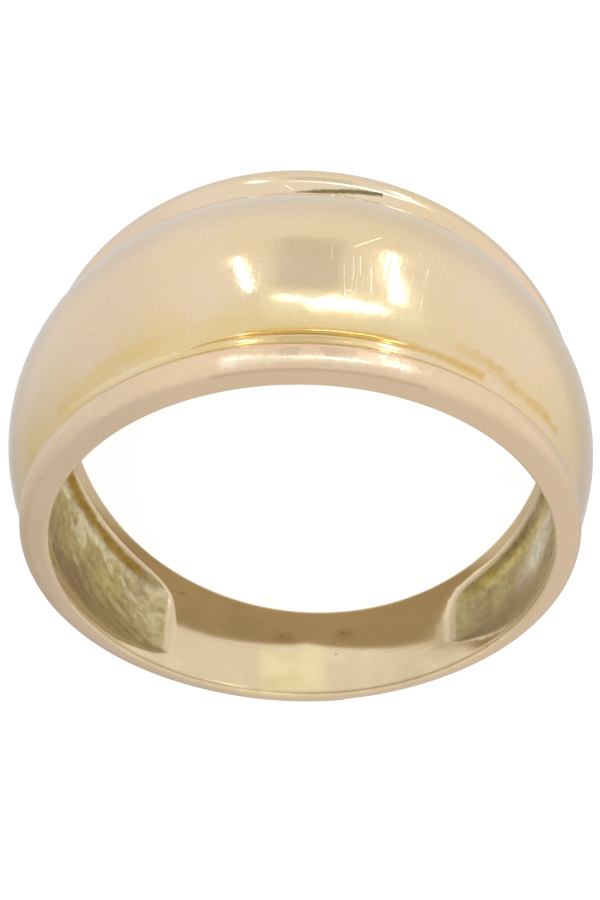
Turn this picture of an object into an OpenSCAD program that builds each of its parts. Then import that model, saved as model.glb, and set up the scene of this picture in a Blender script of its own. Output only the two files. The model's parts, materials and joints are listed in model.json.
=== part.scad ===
// A domed band ring, cast in one piece: a wide crown between two raised rims that tapers to a
// narrow shank, and is hollowed out behind the dome.
// It lies on the flat side of one rim, with the dome towards -Y. Millimetres, +Z up.

/* [Finger hole] */
// Diameter of the finger hole
hole_d = 17.3; // [15:0.1:21]

/* [Band] */
// Width of the band at the top of the finger hole
top_w = 10.1; // [9:0.1:11]
// Width of the band at the bottom of the finger hole
bottom_w = 4.4; // [4:0.1:5]

/* [Rims] */
// Thickness of the rims above the finger hole, at the top of the ring
rim_top_h = 1.12; // [1:0.02:1.3]
// Thickness of the rims at the bottom of the ring
rim_bottom_h = 0.55; // [0.45:0.05:0.6]
// Width of each rim
rim_w = 1.0; // [0.9:0.05:1.2]
// Radius of the rims' rounded outer corners
rim_round = 0.4; // [0.2:0.05:0.42]

/* [Dome] */
// Height of the dome's crown above the finger hole, at the top of the ring
dome_top_h = 2.57; // [2.4:0.05:2.8]
// Height of the dome above the finger hole, at the sides of the ring
dome_side_h = 1.48; // [1.4:0.02:1.6]
// Radius of the dome's arch from rim to rim
dome_arc = 5.4; // [5:0.1:6]

/* [Shank] */
// Thickness of the shank at the middle of its width
shank_h = 1.07; // [1:0.01:1.15]
// Radius of the shank's arch from rim to rim
shank_arc = 3.4; // [3:0.1:4]

/* [Hollow] */
// Depth of the hollow behind the dome, at the top of the ring
hollow_top_h = 1.45; // [1.2:0.05:1.6]
// Depth of the hollow at the sides of the ring
hollow_side_h = 0.83; // [0.7:0.01:0.85]
// Width of the flange that is left beside the hollow, along the upper rim
upper_flange_w = 0.8; // [0.7:0.05:1.2]
// Width of the flange along the lower rim
lower_flange_w = 1.1; // [0.7:0.05:1.2]
// Angle from the dome's top to the hollow's end on the left, seen from the upper side of the ring
hollow_left = 134; // [120:1:150]
// Angle from the dome's top to the hollow's end on the right
hollow_right = 150; // [120:1:150]

/* [Hidden] */
$fn = 180;

hole_r = hole_d / 2;
// The rim faces are flat and lean towards each other by this much, so the band tapers evenly
mid_w = (top_w + bottom_w) / 4;
taper = (top_w - bottom_w) / 2 / hole_d;
lean = atan(taper);
// The rims are discs in those leaning planes, set a little towards the dome
rim_r = (hole_d + rim_top_h + rim_bottom_h) / 2 / cos(lean);
rim_shift = (rim_top_h - rim_bottom_h) / 2 / cos(lean);
// How far the dome and the shank reach in under the rims
tuck = rim_w / 2;
// A length that clears the whole ring
reach = 2 * hole_d;
// How far the ring reaches to the front and to the back once it is laid on its side
front = (hole_r + dome_top_h - dome_arc) * cos(lean) + dome_arc;
back = (hole_r + shank_h - shank_arc) * cos(lean) + shank_arc;

// Half the band's width at the height y, from the finger axis towards the dome
function half_w(y) = mid_w + taper * y;

// A barrel round the finger axis has one radius at the top of the ring and another at its sides,
// because its own axis is shifted towards the dome
function barrel_r(top, side) = (top + side * side / top) / 2;
function barrel_shift(top, side) = top - barrel_r(top, side);

// Upright working position: finger axis along Z, dome towards +Y

// The space between two planes, each parallel to a rim face and a distance inside it
module between_rims(upper_inset, lower_inset) {
    low = -1.25 * hole_r;
    high = 2 * hole_r;
    rotate([90, 0, 90])
        linear_extrude(height = reach, center = true)
            polygon([
                [low, lower_inset - half_w(low)],
                [high, lower_inset - half_w(high)],
                [high, half_w(high) - upper_inset],
                [low, half_w(low) - upper_inset]
            ]);
}

// A barrel with arched sides, thick enough to reach into the finger hole
module barrel(top, side, arc) {
    r = barrel_r(top, side);
    translate([0, barrel_shift(top, side), 0])
        rotate_extrude()
            intersection() {
                translate([r - arc, 0]) circle(r = arc);
                translate([hole_r * 0.75, -arc]) square([reach, 2 * arc]);
            }
}

// One rim, a flat ring with rounded outer corners, below the plane z = 0
module rim_disc() {
    inner = hole_r * 0.9;
    rotate_extrude() {
        translate([inner, -rim_w]) square([rim_r - rim_round - inner, rim_w]);
        translate([inner, rim_round - rim_w]) square([rim_r - inner, rim_w - 2 * rim_round]);
        translate([rim_r - rim_round, -rim_round]) circle(r = rim_round);
        translate([rim_r - rim_round, rim_round - rim_w]) circle(r = rim_round);
    }
}

module upper_rim() {
    translate([0, 0, mid_w]) rotate([lean, 0, 0]) translate([0, rim_shift, 0]) rim_disc();
}

module rims() {
    upper_rim();
    mirror([0, 0, 1]) upper_rim();
}

module dome() {
    intersection() {
        barrel(hole_r + dome_top_h, hole_r + dome_side_h, dome_arc);
        between_rims(tuck, tuck);
    }
}

module shank() {
    intersection() {
        barrel(hole_r + shank_h, hole_r + shank_h, shank_arc);
        between_rims(tuck, tuck);
    }
}

module finger_hole() {
    cylinder(r = hole_r, h = reach, center = true);
}

// The part of the shank that the hollow doesn't reach, as a wedge seen along the finger axis
module solid_shank() {
    middle = (hollow_right + 360 - hollow_left) / 2;
    linear_extrude(height = reach, center = true)
        polygon([
            [0, 0],
            [reach * sin(hollow_right), reach * cos(hollow_right)],
            [2 * reach * sin(middle), 2 * reach * cos(middle)],
            [-reach * sin(hollow_left), reach * cos(hollow_left)]
        ]);
}

module hollow() {
    difference() {
        intersection() {
            barrel(hole_r + hollow_top_h, hole_r + hollow_side_h, dome_arc);
            between_rims(upper_flange_w, lower_flange_w);
        }
        solid_shank();
    }
}

// Lays the ring on its lower rim, with the middle of its outline over the origin
module laid_on_its_side() {
    translate([0, (front - back) / 2, mid_w * cos(lean)])
        rotate([0, 0, 180]) rotate([lean, 0, 0]) children();
}

module ring_band() {
    color("#dcc08a")
        laid_on_its_side()
            difference() {
                union() {
                    rims();
                    dome();
                    shank();
                }
                finger_hole();
                hollow();
            }
}

ring_band();
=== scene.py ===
import json
import math
import bpy
import numpy as np
from mathutils import Matrix, Vector


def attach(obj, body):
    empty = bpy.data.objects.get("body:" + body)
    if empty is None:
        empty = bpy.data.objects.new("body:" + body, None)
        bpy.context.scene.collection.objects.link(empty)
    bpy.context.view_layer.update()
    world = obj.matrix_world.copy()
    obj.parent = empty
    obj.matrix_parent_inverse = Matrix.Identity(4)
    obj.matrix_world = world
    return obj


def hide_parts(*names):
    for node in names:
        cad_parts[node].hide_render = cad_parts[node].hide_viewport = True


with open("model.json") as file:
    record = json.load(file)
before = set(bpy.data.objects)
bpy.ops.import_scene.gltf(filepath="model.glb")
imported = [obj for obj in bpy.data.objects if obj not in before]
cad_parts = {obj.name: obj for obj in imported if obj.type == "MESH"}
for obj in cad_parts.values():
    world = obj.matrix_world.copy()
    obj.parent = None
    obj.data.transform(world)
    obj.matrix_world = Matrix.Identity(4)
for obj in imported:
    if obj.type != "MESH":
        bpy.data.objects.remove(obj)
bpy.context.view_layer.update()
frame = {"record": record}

# The ring's form. It is one casting in yellow gold: a wide dome between two raised rims, which tapers
# to a narrow shank. The side faces of the rims are flat and lean towards each other.
mm = 0.001
finger_hole = next(mount for mount in frame["record"]["mounts"] if mount["name"] == "finger_hole")
hole_r = finger_hole["dims"]["r_mm"] * mm
top_w = finger_hole["dims"]["length_mm"] * mm
hole_centre = Vector(finger_hole["pos_m"])
finger_axis = Vector(finger_hole["axis"]).normalized()
lean = math.atan2(finger_axis.y, finger_axis.z)
taper = math.tan(lean)
mid_w = top_w / 2 - taper * hole_r

rim_top_h = 1.12 * mm
rim_bottom_h = 0.55 * mm
rim_w = 1.04 * mm
rim_round = 0.4 * mm
dome_top_h = 2.57 * mm
dome_side_h = 1.48 * mm
dome_arc = 5.4 * mm
shank_h = 1.07 * mm
shank_arc = 3.4 * mm
# Casting and polishing have softened the inner corners, more so round the ring's left side
groove_soft = 0.16 * mm
left_groove_soft = 0.36 * mm
left_from = math.radians(9)
left_to = math.radians(39)
# A low bead at the foot of the dome, left on the upper side when the groove was cut
bead_at = 1.28 * mm
bead_drop = 0.05 * mm
bead_round = 0.3 * mm
bead_start = math.radians(-4)
bead_stop = math.radians(30)
bead_sinking = 0.05 / mm
shoulder_soft = 0.3 * mm
rim_inner_slope = math.radians(56)
top_edge_round = 0.04 * mm
shank_edge_round = 0.16 * mm

rim_r = (hole_r + (rim_top_h + rim_bottom_h) / 2) / math.cos(lean)
rim_shift = (rim_top_h - rim_bottom_h) / 2 / math.cos(lean)


def soft_max(a, b, soft):
    near = np.clip(1 - np.abs(a - b) / soft, 0, 1)
    return np.maximum(a, b) + soft / 4 * near**2


def soft_min(a, b, soft):
    return -soft_max(-a, -b, soft)


def barrel(angle, across, top_h, side_h, arc):
    """Distance from the finger axis to a barrel that stands top_h over the hole at the dome's top and
    side_h at the ring's sides, and is arched from rim to rim."""
    top = hole_r + top_h
    side = hole_r + side_h
    girth = (top + side * side / top) / 2
    shift = top - girth
    radius = girth - arc + np.sqrt(np.maximum(arc**2 - across**2, 0))
    return shift * np.cos(angle) + np.sqrt(radius**2 - (shift * np.sin(angle)) ** 2)


def rim(angle, depth):
    """Distance from the finger axis to the outside of a rim, at a depth below its side face."""
    inner = np.maximum(depth - (rim_w - rim_round), 0)
    outer = np.maximum(rim_round - depth, 0)
    steepest = rim_round * math.sin(rim_inner_slope)
    rounding = np.sqrt(rim_round**2 - np.minimum(np.maximum(inner, outer), rim_round) ** 2)
    straight = rim_round * math.cos(rim_inner_slope) - (inner - steepest) * math.tan(rim_inner_slope)
    disc = rim_r - rim_round + np.where(inner > steepest, straight, rounding)
    lift = rim_shift * math.cos(lean) + depth * math.sin(lean)
    a = disc * np.cos(angle)
    b = disc * math.cos(lean) * np.sin(angle)
    turn = np.arctan2(b, a) + np.arcsin(lift * np.sin(angle) / np.hypot(a, b))
    return np.hypot(disc * np.sin(turn), lift + disc * math.cos(lean) * np.cos(turn))


def place_across(angle, radius, depth):
    """Place along the finger axis of a point at a depth below the upper rim's side face."""
    return mid_w + taper * radius * np.cos(angle) - depth / math.cos(lean)


def bead(angle, depth):
    past = hole_r * np.maximum(np.maximum(bead_start - angle, angle - bead_stop), 0)
    crest = rim(angle, rim_w / 2) - bead_drop - bead_sinking * past**2
    return crest - (depth - bead_at) ** 2 / (2 * bead_round)


def outside(angle, across, rim_line, bead_line):
    dome = barrel(angle, across, dome_top_h, dome_side_h, dome_arc)
    shank = barrel(angle, across, shank_h, shank_h, shank_arc)
    leftness = np.clip((-angle - left_from) / (left_to - left_from), 0, 1)
    soft = groove_soft + (left_groove_soft - groove_soft) * leftness
    cut = soft_max(soft_max(dome, shank, shoulder_soft), bead_line, groove_soft)
    return soft_max(rim_line, cut, soft)


# The hollow behind the dome. It is left as it was cast, with a flange beside it along each rim. The flange
# on the upper side narrows away from the hollow's ends, and the ends are soft and lie at unequal distances
# from the dome's top.
hollow_top_h = 1.45 * mm
hollow_side_h = 0.83 * mm
left_end = math.radians(135.5)
right_end = math.radians(151.0)
upper_flange_least = 0.2 * mm
upper_flange_left = 0.84 * mm
upper_flange_right = 1.3 * mm
left_narrowing = 0.20
right_narrowing = 0.33
lower_flange_w = 0.98 * mm
lower_widening = 0.08
widening_from = math.radians(108)
lower_flange_most = 1.6 * mm
side_slope = 1.5
end_slope = 0.5
upper_corner = 0.35 * mm
lower_corner = 0.75 * mm
# The ends curve back where they near the lower rim
corner_depth = 2.1 * mm
corner_curve = 0.28 / mm
floor_fillet = 0.3 * mm
end_lip_soft = 0.14 * mm
upper_lip_soft = 0.2 * mm
lower_lip_soft = 0.36 * mm
lip_blend = 0.9 * mm
# Low waves in the cast floor: how each slants, its length and where it starts
wave_h = 0.005 * mm
waves = [
    (0.8, 0.9 * mm, 0.0),
    (-0.4, 1.7 * mm, 2.0),
    (1.9, 1.2 * mm, 4.0),
]


def upper_flange(angle):
    left = upper_flange_left - left_narrowing * hole_r * (angle + left_end)
    right = upper_flange_right - right_narrowing * hole_r * (right_end - angle)
    return np.clip(np.maximum(left, right), upper_flange_least, upper_flange_right)


def lower_flange(angle):
    widening = lower_widening * hole_r * (widening_from - np.abs(angle))
    return np.clip(lower_flange_w + widening, lower_flange_w, lower_flange_most)


def hollow_depth(angle, across, depth, flange_w, rounding, lip_soft):
    """How far the hollow is sunk below the finger hole's wall, at a depth below the side face."""
    floor = barrel(angle, across, hollow_top_h, hollow_side_h, dome_arc) - hole_r
    for slant, length, start in waves:
        floor += wave_h * np.sin(2 * math.pi / length * (hole_r * angle + slant * across) + start)
    from_lower = (mid_w + taper * hole_r * np.cos(angle) + across) * math.cos(lean)
    near_lower = np.maximum(corner_depth - from_lower, 0)
    from_end = hole_r * np.minimum(right_end - angle, angle + left_end)
    from_end = (from_end - corner_curve * near_lower**2) * end_slope
    from_side = (depth - flange_w) * side_slope
    sunk = soft_min(from_end, from_side, rounding)
    sunk = soft_min(sunk, floor, floor_fillet)
    by_side = np.clip((from_end - from_side) / lip_blend + 0.5, 0, 1)
    return soft_max(0, sunk, end_lip_soft + (lip_soft - end_lip_soft) * by_side)


# The band's mesh: sections round the finger axis, closer together where the hollow ends. Each section is
# one closed loop of points, which runs over the outside and back through the finger hole.
# Each stretch's first angle, last angle and number of sections
stretches = [
    (-180, -139, 34),
    (-139, -95, 100),
    (-95, 105, 170),
    (105, 155, 108),
    (155, 180, 22),
]
turns = np.radians(np.concatenate([np.linspace(a, b, n, endpoint=False) for a, b, n in stretches]))[:, None]


def even(start, stop, count):
    return np.linspace(start, stop, count, endpoint=False)


quarter = even(0, math.pi / 2, 8)
rim_reach = 1.75 * mm
steep = even(0, rim_inner_slope, 7)
rim_depths = np.concatenate(
    [
        rim_round * (1 - np.cos(quarter)),
        even(rim_round, rim_w - rim_round, 2),
        rim_w - rim_round + rim_round * np.sin(steep),
        even(rim_w - rim_round + rim_round * math.sin(rim_inner_slope), rim_reach, 20),
    ]
)
edge_quarter = even(0, math.pi / 2, 4)[None, :]
edge_round = top_edge_round + (shank_edge_round - top_edge_round) * np.sin(turns / 2) ** 2
flange_start = 0.75 * mm
flange_depth = 2.1 * mm
hole_depths = np.hstack(
    [
        edge_round * (1 - np.cos(edge_quarter)),
        edge_round + (flange_start - edge_round) * even(0, 1, 4)[None, :],
        np.tile(even(flange_start, flange_depth, 22), (len(turns), 1)),
    ]
)
edge_rise = edge_round * (1 - np.sin(edge_quarter))
dome_steps = 16
floor_steps = 14
face_steps = 4
settling_rounds = 6


def settle(angle, depth, surface):
    """Finds the surface at a depth below the leaning side face, whose place depends on the radius."""
    radius = np.full(np.broadcast(angle, depth).shape, hole_r)
    for _ in range(settling_rounds):
        radius = surface(angle, place_across(angle, radius, depth), depth)
    return radius, place_across(angle, radius, depth)


def outer_side(with_bead):
    """The outside from the side face to the foot of the dome, along one rim."""
    def surface(angle, across, depth):
        return outside(angle, across, rim(angle, depth), bead(angle, depth) if with_bead else 0)

    radius, place = settle(turns, rim_depths[None, :], surface)
    foot_r, foot_z = settle(turns, np.array([[rim_reach]]), surface)
    return radius, place, foot_z


upper_out_r, upper_out_z, upper_foot = outer_side(True)
lower_out_r, lower_out_z, lower_foot = outer_side(False)
dome_share = np.linspace(0, 1, 2 * dome_steps + 1)[None, :]
dome_z = upper_foot - (upper_foot + lower_foot) * dome_share
dome_r = outside(turns, dome_z, 0, 0)


def finger_side(flange, rounding, lip_soft, towards):
    """The inner side from the hole's edge to the middle of the band, along the rim that lies towards +1
    or -1 on the finger axis."""
    def surface(angle, across, depth):
        return hole_r + hollow_depth(angle, towards * across, depth, flange(angle), rounding, lip_soft)

    radius, place = settle(turns, hole_depths, surface)
    radius[:, : edge_rise.shape[1]] = hole_r + edge_rise
    place = place_across(turns, radius, hole_depths)
    share = np.linspace(0, 1, floor_steps + 1)[None, 1:]
    last_r, last_z = settle(turns, np.array([[flange_depth]]), surface)
    across = last_z * (1 - share)
    inner = np.full_like(across, hole_r)
    for _ in range(settling_rounds):
        inner = surface(turns, across, (mid_w + taper * inner * np.cos(turns) - across) * math.cos(lean))
    return np.hstack([radius, last_r, inner]), np.hstack([place, last_z, across])


upper_r, upper_z = finger_side(upper_flange, upper_corner, upper_lip_soft, 1)
lower_r, lower_z = finger_side(lower_flange, lower_corner, lower_lip_soft, -1)
# The two sides meet in the middle
middle_r = (upper_r[:, -1:] + lower_r[:, -1:]) / 2
blend_share = np.linspace(0, 1, floor_steps + 1)[None, :] ** 2
upper_r[:, -floor_steps - 1:] += (middle_r - upper_r[:, -1:]) * blend_share
lower_r[:, -floor_steps - 1:] += (middle_r - lower_r[:, -1:]) * blend_share
face_share = np.linspace(0, 1, face_steps + 1)[None, 1:-1]
face_r = upper_r[:, :1] + (upper_out_r[:, :1] - upper_r[:, :1]) * face_share
face_z = place_across(turns, face_r, 0)

radii = np.hstack(
    [upper_out_r, dome_r, lower_out_r[:, ::-1], face_r[:, ::-1], lower_r, upper_r[:, -2::-1], face_r]
)
places = np.hstack(
    [upper_out_z, dome_z, -lower_out_z[:, ::-1], -face_z[:, ::-1], -lower_z, upper_z[:, -2::-1], face_z]
)
sections, loop = radii.shape

# The ring's own axes in the frame: the one across, the dome's direction and the finger axis
to_frame = Matrix.Translation(hole_centre) @ Matrix(
    [Vector((-1, 0, 0)), finger_axis.cross(Vector((-1, 0, 0))), finger_axis]
).transposed().to_4x4()
own = np.stack([radii * np.sin(turns), radii * np.cos(turns), places], axis=-1).reshape(-1, 3)
turned = own @ np.array(to_frame.to_3x3()).T + np.array(to_frame.translation)

corner = np.arange(sections * loop).reshape(sections, loop)
ahead = np.roll(corner, -1, axis=0)
quads = np.stack([corner, ahead, np.roll(ahead, -1, axis=1), np.roll(corner, -1, axis=1)], axis=-1)
band_mesh = bpy.data.meshes.new("band")
band_mesh.from_pydata(turned.tolist(), [], quads.reshape(-1, 4).tolist())
band_mesh.polygons.foreach_set("use_smooth", [True] * len(band_mesh.polygons))
band = bpy.data.objects.new("band", band_mesh)
bpy.context.scene.collection.objects.link(band)


def note(name, values, kind="FLOAT"):
    """Keeps a value or a place for each point of the mesh, for the materials."""
    attribute = band_mesh.attributes.new(name, kind, "POINT")
    attribute.data.foreach_set("value" if kind == "FLOAT" else "vector", np.ravel(values))


first_inner = 2 * upper_out_r.shape[1] + dome_r.shape[1] + face_r.shape[1]
last_inner = loop - face_r.shape[1]
is_inside = np.zeros((sections, loop))
is_inside[:, first_inner:last_inner] = 1
is_face = np.zeros((sections, loop))
for edge in (first_inner - face_r.shape[1], last_inner):
    is_face[:, edge : edge + face_r.shape[1]] = 1
upper_depth = (mid_w + taper * radii * np.cos(turns) - places) * math.cos(lean)
lower_depth = (mid_w + taper * radii * np.cos(turns) + places) * math.cos(lean)
way_round = hole_r * np.where(is_inside > 0, np.mod(turns, 2 * math.pi), turns)
lip_past = (lower_depth - lower_flange(turns)) * is_inside
end_past = hole_r * np.minimum(right_end - turns, turns + left_end)
edge_depth = np.minimum(upper_depth, lower_depth)
worn_edge = edge_round + 0.06 * mm
past_edge = edge_round + 0.02 * mm
zeros = np.zeros((sections, loop))
note("side_face", is_face)
note("hole_edge", is_inside * (edge_depth < worn_edge))
note("sunk", np.where(is_inside * (edge_depth > past_edge) > 0, radii - hole_r, 0) / mm)
note("past_lip", lip_past / mm)
note("past_end", (end_past + zeros) / mm)
note("ring_place", own / mm, "FLOAT_VECTOR")
note("on_rim", np.stack([way_round, radii - hole_r, zeros], axis=-1) / mm, "FLOAT_VECTOR")
note("from_upper", np.stack([way_round, upper_depth, zeros], axis=-1) / mm, "FLOAT_VECTOR")
note("from_lower", np.stack([way_round, lower_depth, zeros], axis=-1) / mm, "FLOAT_VECTOR")


def node(tree, kind, inputs=(), **settings):
    """Adds a node. Each input is a plain value or what another node gives."""
    made = tree.nodes.new("ShaderNode" + kind)
    for name, value in settings.items():
        setattr(made, name, value)
    for name, value in dict(inputs).items():
        if isinstance(value, bpy.types.NodeSocket):
            tree.links.new(value, made.inputs[name])
        else:
            made.inputs[name].default_value = value
    return made


def reckon(tree, operation, *values):
    """One step of arithmetic on values that change over the surface."""
    return node(tree, "Math", dict(enumerate(values)), operation=operation).outputs[0]


def fade(tree, value, start, stop, low=0.0, high=1.0):
    """Goes smoothly from low to high while the value goes from start to stop."""
    inputs = {"Value": value, "From Min": start, "From Max": stop, "To Min": low, "To Max": high}
    return node(tree, "MapRange", inputs, interpolation_type="SMOOTHSTEP").outputs["Result"]


def mix_colour(tree, share, first, second, blend="MIX"):
    mixed = node(tree, "Mix", {0: share, 6: first, 7: second}, data_type="RGBA", blend_type=blend)
    return mixed.outputs[2]


def kept(tree, name, output="Fac"):
    """What the mesh keeps under this name for each point."""
    return node(tree, "Attribute", attribute_name=name).outputs[output]


def effect(name, inputs, outputs, gives="NodeSocketFloat"):
    """A node group with named inputs and outputs. Returns its tree, what comes in and what goes out."""
    tree = bpy.data.node_groups.new(name, "ShaderNodeTree")
    for label, value in inputs.items():
        kind = "NodeSocketVector" if isinstance(value, tuple) else "NodeSocketFloat"
        socket = tree.interface.new_socket(label, in_out="INPUT", socket_type=kind)
        socket.default_value = value
    for label in outputs:
        tree.interface.new_socket(label, in_out="OUTPUT", socket_type=gives)
    return tree, tree.nodes.new("NodeGroupInput").outputs, tree.nodes.new("NodeGroupOutput").inputs


def place_effect(tree, group, **inputs):
    """Places a shared effect in a material, with values of its own."""
    made = tree.nodes.new("ShaderNodeGroup")
    made.node_tree = group
    for name, value in inputs.items():
        socket = made.inputs[name.replace("_", " ")]
        if isinstance(value, bpy.types.NodeSocket):
            tree.links.new(value, socket)
        else:
            socket.default_value = value
    return made.outputs[0]


# Slow drifts of tone, as old gold has them
drift, given, result = effect("drift", {"Place": (0.0, 0.0, 0.0), "Size": 4.0, "Seed": 0.0}, ["Share"])
spread = reckon(drift, "DIVIDE", 1.0, given["Size"])
inputs = {"Vector": given["Place"], "W": given["Seed"], "Scale": spread, "Detail": 3.0, "Roughness": 0.55}
clouds = node(drift, "TexNoise", inputs, noise_dimensions="4D").outputs["Fac"]
drift.links.new(fade(drift, clouds, 0.32, 0.68), result["Share"])

# Straight scratches of one direction, each a stretched fleck of a noise
scratches, given, result = effect(
    "scratches",
    {"Place": (0.0, 0.0, 0.0), "Turn": 0.0, "Length": 2.0, "Width": 0.05, "Share": 0.3, "Seed": 0.0},
    ["Mask"],
)
inputs = {"Vector": given["Place"], "Angle": given["Turn"]}
turned_place = node(scratches, "VectorRotate", inputs, rotation_type="Z_AXIS").outputs[0]
parts = node(scratches, "SeparateXYZ", {0: turned_place})
along = reckon(scratches, "DIVIDE", parts.outputs["X"], given["Length"])
beside = reckon(scratches, "DIVIDE", parts.outputs["Y"], given["Width"])
stretched = node(scratches, "CombineXYZ", {"X": along, "Y": beside, "Z": given["Seed"]}).outputs[0]
flecks = node(scratches, "TexNoise", {"Vector": stretched, "Scale": 0.5, "Detail": 1.0}).outputs["Fac"]
least = fade(scratches, given["Share"], 0.0, 1.0, 0.8, 0.5)
rise = reckon(scratches, "ADD", least, 0.07)
inputs = {"Value": flecks, "From Min": least, "From Max": rise}
scratches.links.new(node(scratches, "MapRange", inputs).outputs["Result"], result["Mask"])

# Small shifts of place, which tear the edges of patches
tearing, given, result = effect("tearing", {"Place": (0.0, 0.0, 0.0)}, ["Shift"], "NodeSocketVector")
torn = node(tearing, "TexNoise", {"Vector": given["Place"], "Scale": 5.0, "Detail": 3.0}).outputs["Color"]
torn = node(tearing, "VectorMath", {0: torn, 1: (0.5, 0.5, 0.5)}, operation="SUBTRACT").outputs[0]
tearing.links.new(torn, result["Shift"])

# One soft-edged patch at a place of its own, ragged if wished, such as a stain, a rubbed spot, a painted
# highlight or shade, or a lamp on the tent
patch, given, result = effect(
    "patch",
    {
        "Place": (0.0, 0.0, 0.0),
        "Middle": (0.0, 0.0, 0.0),
        "Turn": 0.0,
        "Length": 1.0,
        "Width": 1.0,
        "Edge": 0.1,
        "Tearing": (0.0, 0.0, 0.0),
        "Ragged": 0.0,
    },
    ["Mask"],
)
inputs = {0: given["Tearing"], "Scale": given["Ragged"]}
torn = node(patch, "VectorMath", inputs, operation="SCALE").outputs[0]
inputs = {0: given["Place"], 1: given["Middle"]}
offset = node(patch, "VectorMath", inputs, operation="SUBTRACT").outputs[0]
offset = node(patch, "VectorMath", {0: offset, 1: torn}, operation="ADD").outputs[0]
inputs = {"Vector": offset, "Angle": given["Turn"]}
offset = node(patch, "VectorRotate", inputs, rotation_type="Z_AXIS").outputs[0]
parts = node(patch, "SeparateXYZ", {0: offset})
sides = []
for output, side in (("X", "Length"), ("Y", "Width")):
    half = reckon(patch, "MULTIPLY", given[side], 0.5)
    past = reckon(patch, "SUBTRACT", reckon(patch, "ABSOLUTE", parts.outputs[output]), half)
    edge_start = reckon(patch, "MULTIPLY", given["Edge"], -0.5)
    edge_stop = reckon(patch, "MULTIPLY", given["Edge"], 0.5)
    sides.append(fade(patch, past, edge_start, edge_stop, 1.0, 0.0))
patch.links.new(reckon(patch, "MULTIPLY", *sides), result["Mask"])


def layer(tree, name):
    """Where a point lies on the unrolled surface, and the tearing of patches there."""
    place = kept(tree, name, "Vector")
    return place, place_effect(tree, tearing, Place=place)


def spot(tree, on_layer, middle, turn, length, width, edge, ragged):
    """The mask of one patch. Lengths are in millimetres, the turn in radians."""
    place, torn_by = on_layer
    return place_effect(
        tree,
        patch,
        Place=place,
        Middle=(*middle, 0.0),
        Turn=turn,
        Length=length,
        Width=width,
        Edge=edge,
        Tearing=torn_by,
        Ragged=ragged,
    )


def lay_tint(tree, colour, on_layer, middle, turn, length, width, edge, ragged, share, tint):
    """Lays a tinted patch over a colour."""
    mask = spot(tree, on_layer, middle, turn, length, width, edge, ragged)
    return mix_colour(tree, reckon(tree, "MULTIPLY", mask, share), colour, tint)


# The outside. It is polished gold, with fine scratches, golden lines and bands in the grooves that are
# partly tarnish and partly painted shade, and painted highlights and a painted sheen on the rim and the
# dome. The rims' side faces are only rubbed smooth.
polished = bpy.data.materials.new("polished_gold")
polished.use_nodes = True
tree = polished.node_tree
metal = tree.nodes["Principled BSDF"]
pale_gold = (0.78, 0.63, 0.455, 1)
rosy_gold = (0.79, 0.60, 0.46, 1)
yellow_gold = (0.78, 0.61, 0.31, 1)
rim_gold = (0.79, 0.59, 0.40, 1)
foot_gold = (0.74, 0.56, 0.25, 1)
groove_tarnish_and_shade = (0.66, 0.42, 0.11, 1)
olive_gold = (0.66, 0.53, 0.20, 1)
left_rim_rose = (0.68, 0.50, 0.32, 1)
rim_face_shade = (0.60, 0.44, 0.27, 1)
valley_gold = (0.75, 0.53, 0.23, 1)
painted_dome_sheen = (0.78, 0.67, 0.50, 1)
painted_foot_highlight = (0.90, 0.75, 0.47, 1)
painted_rim_highlight = (0.95, 0.86, 0.66, 1)
left_tone = (0.91, 0.93, 0.97, 1)
bright_cut = (0.97, 0.90, 0.74, 1)
groove_shade = (0.16, 0.12, 0.05, 1)
place = kept(tree, "ring_place", "Vector")
upper = layer(tree, "from_upper")
lower = layer(tree, "from_lower")
on_rim = layer(tree, "on_rim")
depth = node(tree, "SeparateXYZ", {0: upper[0]}).outputs["Y"]
rosy = place_effect(tree, drift, Place=place, Size=5.0, Seed=2.0)
yellow = place_effect(tree, drift, Place=place, Size=3.5, Seed=9.0)
colour = mix_colour(tree, reckon(tree, "MULTIPLY", rosy, 0.8), pale_gold, rosy_gold)
colour = mix_colour(tree, reckon(tree, "MULTIPLY", yellow, 0.4), colour, yellow_gold)
face = kept(tree, "side_face")
past_rim = fade(tree, depth, 0.75, 1.05)
rim_share = reckon(tree, "MAXIMUM", face, fade(tree, past_rim, 0.0, 1.0, 0.75, 0.0))
colour = mix_colour(tree, rim_share, colour, rim_gold)
# A darker yellow band at the dome's foot beside the upper rim: partly tarnish, partly painted shade
foot = reckon(tree, "MULTIPLY", past_rim, fade(tree, depth, 1.5, 3.4, 1.0, 0.0))
foot = reckon(tree, "MULTIPLY", foot, fade(tree, yellow, 0.0, 1.0, 0.25, 0.75))
across_ring = node(tree, "SeparateXYZ", {0: place}).outputs["X"]
foot = reckon(tree, "MULTIPLY", foot, fade(tree, across_ring, 3.0, 6.5, 1.0, 0.4))
colour = mix_colour(tree, foot, colour, foot_gold)
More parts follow.
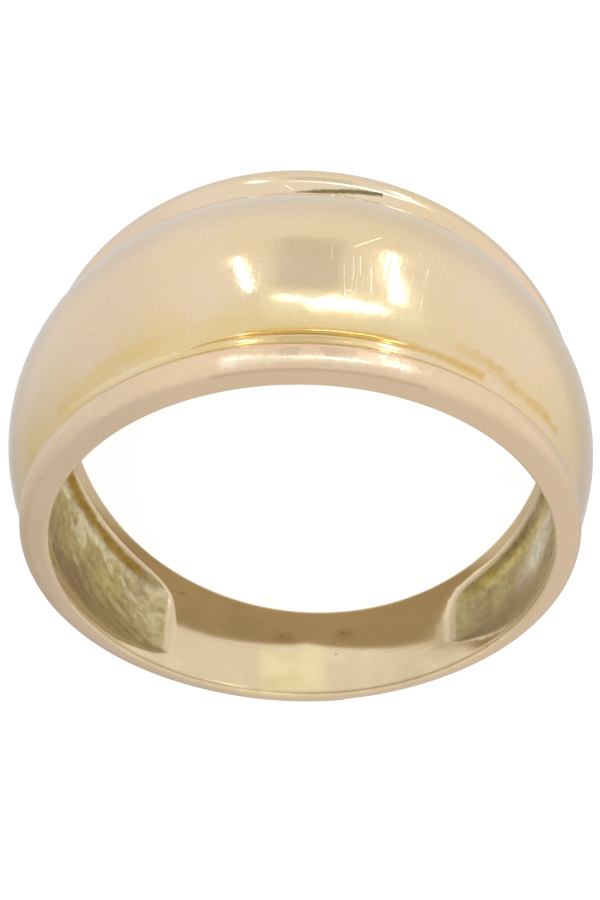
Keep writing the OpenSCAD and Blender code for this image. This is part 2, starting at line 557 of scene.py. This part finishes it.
# Each patch's layer, middle, turn, length, width, soft edge, raggedness, share and colour. Some are tone
# and tarnish, some are painted shade, a painted sheen and painted highlights, as said above each.
tints_and_painted_light = [
    # Golden lines along the near groove and its branch to the right: partly tarnish, partly painted shade
    (upper, (2.0, 1.52), 0.0, 4.4, 0.18, 0.12, 0.06, 0.85, groove_tarnish_and_shade),
    (upper, (5.0, 1.43), 0.02, 4.2, 0.2, 0.24, 0.12, 0.85, groove_tarnish_and_shade),
    (upper, (6.7, 1.84), 0.06, 1.8, 0.2, 0.44, 0.4, 0.5, groove_tarnish_and_shade),
    (upper, (7.6, 1.7), 0.24, 1.3, 0.2, 0.44, 0.4, 0.5, groove_tarnish_and_shade),
    (upper, (8.4, 1.58), 0.05, 1.1, 0.18, 0.36, 0.4, 0.6, groove_tarnish_and_shade),
    (upper, (9.35, 1.55), 0.03, 1.1, 0.24, 0.24, 0.3, 0.6, groove_tarnish_and_shade),
    (upper, (10.1, 1.5), 0.06, 0.9, 0.16, 0.2, 0.2, 0.65, groove_tarnish_and_shade),
    # A painted sheen on the dome's far side
    (upper, (0.8, 8.9), 0.0, 7.0, 1.2, 1.4, 0.3, 0.6, painted_dome_sheen),
    (upper, (1.6, 4.8), 0.0, 4.6, 2.2, 1.6, 0.3, 0.35, yellow_gold),
    # A painted highlight on the dome's foot
    (upper, (2.6, 2.35), 0.0, 4.4, 0.7, 0.8, 0.3, 0.75, painted_foot_highlight),
    # Painted highlights on the rim's top
    (upper, (1.2, 0.24), 0.0, 4.2, 0.24, 0.24, 0.2, 0.45, painted_rim_highlight),
    (upper, (-0.6, 0.3), 0.0, 0.5, 0.34, 0.2, 0.1, 0.7, painted_rim_highlight),
    (upper, (4.2, 0.32), 0.1, 0.9, 0.26, 0.25, 0.15, 0.6, painted_rim_highlight),
    # Golden bands in the left groove: partly tarnish, partly painted shade
    (upper, (-4.1, 1.86), 0.0, 2.6, 0.4, 0.35, 0.25, 0.5, valley_gold),
    (upper, (-5.6, 1.52), 0.0, 2.8, 0.42, 0.35, 0.25, 0.65, valley_gold),
    (upper, (-3.4, 1.75), 0.0, 1.4, 0.3, 0.35, 0.4, 0.4, valley_gold),
    # A painted highlight along the dome's foot on the left
    (upper, (-5.4, 1.37), 0.0, 6.4, 0.13, 0.12, 0.08, 0.45, painted_foot_highlight),
    # A darker rosy patch on the rim at the left
    (upper, (-13.0, 0.3), 0.0, 5.0, 0.9, 0.6, 0.3, 0.4, left_rim_rose),
    # A painted shade along the near rim's face, by the finger hole
    (on_rim, (2.0, 0.77), 0.0, 6.5, 0.14, 0.2, 0.08, 0.7, rim_face_shade),
    # Olive and golden lines along the crease and the foot on the left: partly tarnish, partly painted shade
    (upper, (-3.3, 1.04), 0.0, 5.2, 0.08, 0.08, 0.05, 0.6, olive_gold),
    (upper, (-7.4, 1.34), 0.06, 5.2, 0.22, 0.22, 0.12, 0.6, valley_gold),
    (upper, (-3.4, 1.88), -0.04, 6.2, 0.2, 0.34, 0.3, 0.4, foot_gold),
    # A painted shadow line in the far groove
    (lower, (2.3, 1.06), 0.08, 2.7, 0.08, 0.05, 0.05, 0.9, groove_shade),
]
for one in tints_and_painted_light:
    colour = lay_tint(tree, colour, *one)
colour = mix_colour(tree, fade(tree, across_ring, -2.0, -5.0), colour, left_tone, "MULTIPLY")
# The cuts on the crown: middle, turn, length, width and share
cuts = [
    ((3.03, 4.82), -0.75, 0.95, 0.035, 0.9),
    ((2.13, 4.2), 1.57, 0.75, 0.02, 0.4),
    ((2.5, 3.2), 1.5, 1.2, 0.02, 0.5),
    ((2.7, 3.7), 1.53, 0.9, 0.02, 0.4),
    ((2.88, 3.8), 1.53, 0.7, 0.025, 0.5),
    ((3.2, 3.3), 1.5, 0.9, 0.02, 0.4),
]
cut = 0.0
for middle, turn, length, width, share in cuts:
    one = spot(tree, upper, middle, turn, length, width, 0.04, 0.02)
    cut = reckon(tree, "MAXIMUM", cut, reckon(tree, "MULTIPLY", one, share))
colour = mix_colour(tree, cut, colour, bright_cut)
specks = node(tree, "TexNoise", {"Vector": place, "Scale": 14.0, "Detail": 2.0}).outputs["Fac"]
dusting = fade(tree, specks, 0.3, 0.7, 0.975, 1.025)
colour = mix_colour(tree, 1.0, colour, dusting, "MULTIPLY")
tree.links.new(colour, metal.inputs["Base Color"])
metal.inputs["Metallic"].default_value = 1
worn = place_effect(tree, drift, Place=place, Size=1.4, Seed=5.0)
rubbed_rim = place_effect(tree, drift, Place=place, Size=0.45, Seed=12.0)
rim_roughness = fade(tree, rubbed_rim, 0.0, 1.0, 0.18, 0.42)
dome_roughness = fade(tree, worn, 0.0, 1.0, 0.1, 0.17)
roughness = fade(tree, past_rim, 0.0, 1.0, rim_roughness, dome_roughness)
roughness = reckon(tree, "ADD", roughness, reckon(tree, "MULTIPLY", cut, 0.35))
roughness = fade(tree, face, 0.0, 1.0, roughness, 0.36)
tree.links.new(roughness, metal.inputs["Roughness"])
at = upper[0]
lines = place_effect(tree, scratches, Place=at, Turn=1.45, Length=2.2, Width=0.05, Share=0.16, Seed=3.0)
more = place_effect(tree, scratches, Place=at, Turn=0.5, Length=1.2, Width=0.04, Share=0.25, Seed=8.0)
fine = place_effect(tree, scratches, Place=at, Turn=1.6, Length=1.6, Width=0.03, Share=0.6, Seed=6.0)
rubbed = spot(tree, upper, (3.6, 4.0), 0.0, 2.0, 2.6, 1.2, 0.5)
fine = reckon(tree, "MULTIPLY", fine, rubbed)
grain = node(tree, "TexNoise", {"Vector": place, "Scale": 13.0, "Detail": 3.0}).outputs["Fac"]
grain = reckon(tree, "MULTIPLY", grain, fade(tree, face, 0.0, 1.0, 0.12, 0.04))
dents = node(tree, "TexNoise", {"Vector": place, "Scale": 4.0, "Detail": 2.0}).outputs["Fac"]
dents = reckon(tree, "MULTIPLY", dents, fade(tree, depth, 0.7, 1.3, 1.6, 0.7))
marked = reckon(tree, "MAXIMUM", reckon(tree, "MAXIMUM", lines, more), reckon(tree, "MAXIMUM", fine, cut))
height = reckon(tree, "ADD", reckon(tree, "SUBTRACT", grain, marked), dents)
bump = node(tree, "Bump", {"Strength": 0.5, "Distance": 0.01 * mm, "Height": height})
tree.links.new(bump.outputs["Normal"], metal.inputs["Normal"])
band_mesh.materials.append(polished)

# The inside. It is bright and smooth on the shank and the flanges, with a paler seam, a few spots and
# painted shade on the right. The hollow keeps the skin of the casting: tan and olive, with slanting pale
# streaks, a painted sheen on its right, and browned along the lower flange.
inner_gold = bpy.data.materials.new("inner_gold")
inner_gold.use_nodes = True
tree = inner_gold.node_tree
metal = tree.nodes["Principled BSDF"]
wall_gold = (0.75, 0.60, 0.39, 1)
seam_gold = (0.84, 0.71, 0.40, 1)
pale_skin = (0.78, 0.70, 0.46, 1)
tan_skin = (0.46, 0.335, 0.165, 1)
olive_skin = (0.515, 0.425, 0.18, 1)
brown_skin = (0.37, 0.25, 0.13, 1)
rust = (0.50, 0.30, 0.06, 1)
mustard = (0.58, 0.45, 0.12, 1)
sheen_gold = (0.68, 0.60, 0.44, 1)
spot_brown = (0.25, 0.17, 0.08, 1)
wall_shade = (0.50, 0.37, 0.22, 1)
place = kept(tree, "ring_place", "Vector")
upper = layer(tree, "from_upper")
sunk = kept(tree, "sunk")
past_lip = kept(tree, "past_lip")
past_end = kept(tree, "past_end")
across_ring = node(tree, "SeparateXYZ", {0: place}).outputs["X"]
on_left = fade(tree, across_ring, -3.0, -5.0)
on_right = fade(tree, across_ring, 3.0, 5.0)
# The seam's patches, the spots on the shank, a fleck of rust on the left and painted shade on the right:
# middle, turn, length, width, soft edge, raggedness, share and colour
wall_stains_and_shade = [
    ((29.0, 1.2), 0.08, 2.5, 2.4, 0.45, 0.4, 0.65, seam_gold),
    ((29.3, 0.75), 0.2, 1.4, 0.7, 0.7, 0.4, 0.35, olive_gold),
    ((29.4, 2.85), 0.0, 0.7, 0.5, 0.5, 0.3, 0.3, spot_brown),
    ((27.1, 3.0), 0.0, 0.7, 0.5, 0.5, 0.3, 0.3, spot_brown),
    ((29.46, 3.0), 0.0, 0.12, 0.1, 0.14, 0.1, 0.5, spot_brown),
    ((27.2, 3.1), 0.0, 0.14, 0.12, 0.14, 0.1, 0.5, spot_brown),
    ((27.43, 2.05), 0.0, 0.08, 0.08, 0.06, 0.05, 0.7, spot_brown),
    ((33.45, 4.1), 0.0, 0.3, 0.1, 0.1, 0.1, 0.6, rust),
    # Painted shade on the shank's wall below the right lip
    ((22.3, 0.85), -0.42, 2.8, 0.35, 0.45, 0.3, 0.55, wall_shade),
    ((23.8, 1.3), 0.0, 3.4, 2.6, 1.6, 0.4, 0.3, wall_shade),
]
colour = wall_gold
for one in wall_stains_and_shade:
    colour = lay_tint(tree, colour, upper, *one)
clouds = place_effect(tree, drift, Place=place, Size=2.0, Seed=15.0)
colour = mix_colour(tree, 1.0, colour, fade(tree, clouds, 0.0, 1.0, 0.94, 1.05), "MULTIPLY")
clouds = place_effect(tree, drift, Place=place, Size=1.3, Seed=4.0)
skin = mix_colour(tree, clouds, tan_skin, olive_skin)
skin = mix_colour(tree, 1.0, skin, fade(tree, on_right, 0.0, 1.0, 1.0, 0.88), "MULTIPLY")
skin = lay_tint(tree, skin, upper, (39.4, 2.0), 0.0, 4.4, 2.0, 1.0, 0.5, 0.95, brown_skin)
# A painted sheen on the right of the hollow
skin = lay_tint(tree, skin, upper, (18.6, 3.3), 0.83, 3.4, 1.0, 0.8, 0.3, 1.0, sheen_gold)
skin = lay_tint(tree, skin, upper, (20.2, 1.7), 0.5, 2.8, 1.2, 0.8, 0.4, 0.75, brown_skin)
skin = lay_tint(tree, skin, upper, (21.3, 2.5), 1.5, 1.6, 0.3, 0.4, 0.3, 0.7, brown_skin)
at = upper[0]
streaks = place_effect(tree, scratches, Place=at, Turn=-0.85, Length=0.8, Width=0.2, Share=0.6, Seed=1.0)
depth = node(tree, "SeparateXYZ", {0: at}).outputs["Y"]
streaks = reckon(tree, "MULTIPLY", streaks, fade(tree, on_left, 0.0, 1.0, 0.08, 0.65))
streaks = reckon(tree, "MULTIPLY", streaks, fade(tree, depth, 1.8, 2.8, 0.15, 1.0))
streaks = reckon(tree, "MULTIPLY", streaks, fade(tree, past_end, 8.0, 5.5, 0.25, 1.0))
blotches = place_effect(tree, drift, Place=place, Size=0.4, Seed=11.0)
blotches = reckon(tree, "MULTIPLY", blotches, fade(tree, past_end, 2.4, 1.0, 0.0, 0.5))
blotches = reckon(tree, "MULTIPLY", blotches, fade(tree, on_right, 0.0, 1.0, 1.0, 0.3))
skin = mix_colour(tree, blotches, skin, pale_skin)
skin = mix_colour(tree, streaks, skin, pale_skin)
beside_lip = reckon(tree, "MULTIPLY", fade(tree, past_lip, 0.22, 0.38), fade(tree, past_lip, 0.8, 0.5))
patches = place_effect(tree, drift, Place=place, Size=0.7, Seed=7.0)
patches = fade(tree, patches, 0.1, 0.7, 0.2, 1.0)
patches = reckon(tree, "MULTIPLY", patches, fade(tree, on_right, 0.0, 1.0, 0.95, 0.3))
skin = mix_colour(tree, reckon(tree, "MULTIPLY", beside_lip, patches), skin, pale_skin)
along_lip = reckon(tree, "MULTIPLY", fade(tree, past_lip, 0.02, 0.08), fade(tree, past_lip, 0.34, 0.14))
along_lip = reckon(tree, "MULTIPLY", along_lip, fade(tree, past_end, 0.9, 1.8))
along_lip = reckon(tree, "MULTIPLY", along_lip, reckon(tree, "MULTIPLY", on_left, 0.9))
skin = mix_colour(tree, along_lip, skin, rust)
band_on_right = reckon(tree, "MULTIPLY", fade(tree, past_lip, 0.1, 0.35), fade(tree, past_lip, 0.8, 0.45))
band_on_right = reckon(tree, "MULTIPLY", band_on_right, reckon(tree, "MULTIPLY", on_right, 0.5))
skin = mix_colour(tree, band_on_right, skin, mustard)
skin = lay_tint(tree, skin, upper, (21.2, 3.75), 0.3, 0.8, 0.25, 0.25, 0.3, 0.8, mustard)
skin = mix_colour(tree, 1.0, skin, fade(tree, past_end, 0.4, 2.6, 0.86, 1.0), "MULTIPLY")
specks = node(tree, "TexNoise", {"Vector": place, "Scale": 4.0, "Detail": 1.5}).outputs["Fac"]
calm = fade(tree, depth, 1.3, 2.7, 0.2, 1.0)
specks = fade(tree, specks, 0.3, 0.7, -0.12, 0.1)
specks = reckon(tree, "ADD", 1.0, reckon(tree, "MULTIPLY", specks, calm))
skin = mix_colour(tree, 1.0, skin, specks, "MULTIPLY")
scallops = node(tree, "TexNoise", {"Vector": place, "Scale": 3.0, "Detail": 3.0}).outputs["Fac"]
scallops = fade(tree, scallops, 0.3, 0.7, -0.03, 0.03)
scallops = reckon(tree, "MULTIPLY", scallops, fade(tree, past_end, 1.2, 0.5))
scallops = reckon(tree, "MULTIPLY", scallops, fade(tree, past_lip, 0.4, 1.0))
border = reckon(tree, "ADD", sunk, scallops)
from_lips = reckon(tree, "MINIMUM", fade(tree, past_end, 0.02, 0.22), fade(tree, past_lip, -0.1, 0.05))
rough_skin = reckon(tree, "MULTIPLY", fade(tree, border, 0.03, 0.06), from_lips)
lip_tone = fade(tree, sunk, 0.0, 0.03, 1.0, fade(tree, on_right, 0.0, 1.0, 0.9, 0.72))
colour = mix_colour(tree, 1.0, colour, lip_tone, "MULTIPLY")
colour = mix_colour(tree, rough_skin, colour, skin)
tree.links.new(colour, metal.inputs["Base Color"])
metal.inputs["Metallic"].default_value = 1
edge_wear = reckon(tree, "MULTIPLY", kept(tree, "hole_edge"), 0.3)
smooth = reckon(tree, "ADD", fade(tree, sunk, 0.0, 0.02, 0.1, 0.24), edge_wear)
tree.links.new(fade(tree, rough_skin, 0.0, 1.0, smooth, 0.42), metal.inputs["Roughness"])
brushed = place_effect(tree, scratches, Place=at, Turn=0.0, Length=6.0, Width=0.06, Share=0.6, Seed=2.0)
cast = node(tree, "TexNoise", {"Vector": place, "Scale": 2.5, "Detail": 3.0}).outputs["Fac"]
cast = reckon(tree, "MULTIPLY", cast, calm)
height = reckon(tree, "ADD", cast, reckon(tree, "MULTIPLY", streaks, 0.5))
height = reckon(tree, "MULTIPLY", height, rough_skin)
height = reckon(tree, "ADD", height, reckon(tree, "MULTIPLY", brushed, 0.02))
bump = node(tree, "Bump", {"Strength": 0.6, "Distance": 0.04 * mm, "Height": height})
tree.links.new(bump.outputs["Normal"], metal.inputs["Normal"])
band_mesh.materials.append(inner_gold)
which = np.zeros((sections, loop), dtype=np.int32)
which[:, first_inner : last_inner - 1] = 1
band_mesh.polygons.foreach_set("material_index", which.ravel())

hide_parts("ring_band")
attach(band, "root")

# The floor. It is a plain white sheet under the ring, which glows a little, so that shadows on it stay
# light. The metal doesn't mirror it, and it casts no shadow.
bpy.ops.mesh.primitive_plane_add(size=4)
floor = bpy.context.object
floor.name = "floor"
sheet = bpy.data.materials.new("white_sheet")
sheet.use_nodes = True
paper = sheet.node_tree.nodes["Principled BSDF"]
paper.inputs["Base Color"].default_value = (0.25, 0.25, 0.25, 1)
paper.inputs["Roughness"].default_value = 1
paper.inputs["Emission Color"].default_value = (1, 1, 1, 1)
paper.inputs["Emission Strength"].default_value = 0.86
floor.data.materials.append(sheet)
floor.visible_glossy = False
floor.visible_shadow = False

# A brown card that only the metal mirrors. It lies on the floor inside the ring and shades the far half
# of the shank, paler towards its two ends. Its corners are in the ring's own axes, in millimetres.
card_lift = 0.02
card_r = hole_r / mm - 0.05
# The edge towards the dome. The metal mirrors it as the border of the shade.
shore = [
    (-7.6, -1.0),
    (-7.3, -2.6),
    (-6.7, -4.0),
    (-6.3, -4.6),
    (-5.6, -4.9),
    (-4.6, -5.15),
    (-3.3, -5.35),
    (-2.5, -5.6),
    (-1.1, -6.45),
    (0.3, -6.0),
    (0.8, -6.05),
    (1.4, -6.4),
    (2.1, -6.75),
    (2.9, -7.05),
    (3.6, -7.15),
    (4.5, -6.8),
    (6.2, -5.2),
    (7.3, -3.4),
]
# The rest of the edge follows the finger hole round the shank
left_turn = math.radians(-94)
right_turn = math.radians(-249)
arc = [(card_r * math.sin(a), card_r * math.cos(a)) for a in np.linspace(right_turn, left_turn, 40)]
corners = [(x * mm, y * mm, card_lift * mm - mid_w - taper * y * mm) for x, y in shore + arc]
card_mesh = bpy.data.meshes.new("brown_card")
card_mesh.from_pydata([to_frame @ Vector(point) for point in corners], [], [list(range(len(corners)))])
reach = card_mesh.attributes.new("reach", "FLOAT", "POINT")
reach.data.foreach_set("value", [point[0] / mm for point in corners])
card = bpy.data.objects.new("brown_card", card_mesh)
bpy.context.scene.collection.objects.link(card)
glow = bpy.data.materials.new("brown_card")
glow.use_nodes = True
tree = glow.node_tree
board = tree.nodes["Principled BSDF"]
board.inputs["Base Color"].default_value = (0, 0, 0, 1)
board.inputs["Specular IOR Level"].default_value = 0
card_brown = (0.44, 0.35, 0.22, 1)
card_pale = (0.67, 0.61, 0.52, 1)
sideways = kept(tree, "reach")
paling = reckon(tree, "ADD", fade(tree, sideways, -7.1, -8.1), fade(tree, sideways, 4.3, 5.6))
tree.links.new(mix_colour(tree, paling, card_brown, card_pale), board.inputs["Emission Color"])
board.inputs["Emission Strength"].default_value = 1.0
card_mesh.materials.append(glow)
card.visible_camera = False
card.visible_diffuse = False
card.visible_shadow = False

# The light: a white tent all round, with long lamps behind its cloth and a shaded field between them.
# A place on the tent is given in degrees from the direction that the dome faces: across the ring, and
# towards the upper side of the band.
world = bpy.data.worlds.new("light_tent")
bpy.context.scene.world = world
world.use_nodes = True
tree = world.node_tree
tent = tree.nodes["Background"]
direction = tree.nodes.new("ShaderNodeTexCoord").outputs["Generated"]
ring_axes = [tuple(to_frame.col[k].xyz) for k in range(3)]
along_axes = []
for axis in ring_axes:
    inputs = {0: direction, 1: axis}
    along_axes.append(node(tree, "VectorMath", inputs, operation="DOT_PRODUCT").outputs["Value"])
sideways, upwards, frontwards = along_axes
from_top = reckon(tree, "DEGREES", reckon(tree, "ARCCOSINE", upwards))
# A little more than 1, so that the root never comes to zero
just_over_one = 1.0001
level_part = reckon(tree, "SUBTRACT", just_over_one, reckon(tree, "MULTIPLY", upwards, upwards))
level_part = reckon(tree, "SQRT", level_part)
stretch = reckon(tree, "DIVIDE", from_top, level_part)
tent_x = reckon(tree, "MULTIPLY", sideways, stretch)
tent_y = reckon(tree, "MULTIPLY", frontwards, stretch)
tent_place = node(tree, "CombineXYZ", {"X": tent_x, "Y": tent_y}).outputs[0]

# Each lamp's middle, turn, length, width, soft edge and strength. The last two are shades: the field
# between the lamps and the camera's side of the tent.
lamps = [
    ((38.1, -19.2, 0.0), -79.0, 42.0, 2.0, 2.6, 8.0),
    ((-10.3, -10.5, 0.0), -82.5, 28.0, 1.0, 3.0, 7.5),
    ((7.5, 11.9, 0.0), -14.0, 15.0, 0.4, 2.6, 9.0),
    ((24.5, 13.0, 0.0), 8.0, 24.0, 1.4, 2.8, 24.0),
    ((10.5, -17.5, 0.0), 2.0, 21.0, 45.0, 4.5, -0.2),
    ((9.0, 78.0, 0.0), 0.0, 44.0, 34.0, 12.0, -0.16),
]
lit = 1.0
for middle, turn, length, width, edge, strength in lamps:
    shone = place_effect(
        tree,
        patch,
        Place=tent_place,
        Middle=middle,
        Turn=math.radians(turn),
        Length=length,
        Width=width,
        Edge=edge,
    )
    lit = reckon(tree, "ADD", lit, reckon(tree, "MULTIPLY", shone, strength))
# The tent is a little darker on the left, below the ring and behind its shank
lit = reckon(tree, "MULTIPLY", lit, fade(tree, tent_x, -110.0, -60.0, 0.84, 1.0))
lit = reckon(tree, "MULTIPLY", lit, fade(tree, tent_y, -90.0, -52.0, 0.84, 1.0))
lit = reckon(tree, "MULTIPLY", lit, fade(tree, upwards, -0.8, -0.1, 0.8, 1.0))
seen = node(tree, "LightPath").outputs["Is Camera Ray"]
tent_colour = mix_colour(tree, seen, lit, (1, 1, 1, 1))
tree.links.new(tent_colour, tent.inputs["Color"])
tent.inputs["Strength"].default_value = 1.0
bpy.context.scene.view_settings.view_transform = "Standard"

# The camera. It stands at the photo's angle to the ring, above the floor, and its angles are measured from
# the ring's own axes.
camera_rise = math.radians(41.226)
camera_turn = math.radians(10.315)
camera_roll = math.radians(-12.454)
camera_distance = 103.8 * mm
pixels_per_mm = 28.437
picture_w = 600
picture_h = 900
ring_in_picture = (305.25, 479.9)

back = Vector(
    (
        math.sin(camera_turn) * math.cos(camera_rise),
        math.sin(camera_rise),
        math.cos(camera_turn) * math.cos(camera_rise),
    )
)
level = Vector((0, 1, 0)).cross(back).normalized()
upright = back.cross(level)
right = level * math.cos(camera_roll) + upright * math.sin(camera_roll)
up = upright * math.cos(camera_roll) - level * math.sin(camera_roll)
camera_data = bpy.data.cameras.new("camera")
camera_data.sensor_width = 36
camera_data.lens = pixels_per_mm * camera_distance / mm * camera_data.sensor_width / picture_h
camera_data.shift_x = (picture_w / 2 - ring_in_picture[0]) / picture_h
camera_data.shift_y = (ring_in_picture[1] - picture_h / 2) / picture_h
camera_data.clip_start = 0.001
camera = bpy.data.objects.new("camera", camera_data)
bpy.context.scene.collection.objects.link(camera)
camera_place = Matrix([right, up, back]).transposed().to_4x4()
camera_place.translation = back * camera_distance
camera.matrix_world = to_frame @ camera_place
bpy.context.scene.camera = camera
